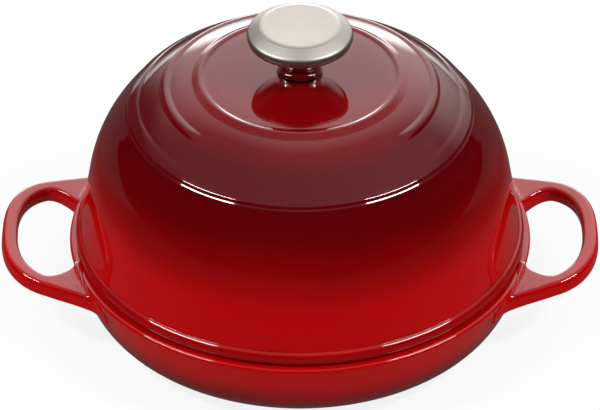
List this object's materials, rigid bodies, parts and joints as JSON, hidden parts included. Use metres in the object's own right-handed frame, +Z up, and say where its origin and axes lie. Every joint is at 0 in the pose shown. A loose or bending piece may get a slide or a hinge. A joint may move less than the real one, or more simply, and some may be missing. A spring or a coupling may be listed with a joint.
{
  "type": "bread cloche",
  "caption": "Round enamelled cast-iron bread cloche: shallow pan with two loop handles under a tall ringed dome lid with a steel knob, for baking loaves.",
  "frame": {"origin": "on the table, under the centre of the pan", "axes": "+X runs through the two handles, +Z is up along the axis of the dome, and -Y is the front, where the middle ring is interrupted"},
  "size_m": [0.3108, 0.241, 0.1723],
  "materials": {
    "red_enamel": "gloss vitreous enamel on cast iron, bright red at the rim, darker at the foot; satin black inside",
    "burgundy_enamel": "gloss vitreous enamel on cast iron, burgundy crown fading to bright red above the rim; satin black inside",
    "brushed_stainless": "brushed",
    "polished_stainless": "polished",
    "plain_stainless": "plain",
    "spring_steel": "plain"
  },
  "bodies": {
    "pan": {"base_pan": "red_enamel"},
    "lid": {"dome_lid": "burgundy_enamel", "knob_cap": "brushed_stainless", "knob_stem": "polished_stainless", "flat_washer": "plain_stainless", "spring_washer": "spring_steel", "knob_screw": "plain_stainless"}
  },
  "joints": [
    {"name": "lid_lift", "type": "slide", "parent": "pan", "child": "lid", "axis": [0, 0, 1], "range_m": [0, 0.12]}
  ]
}
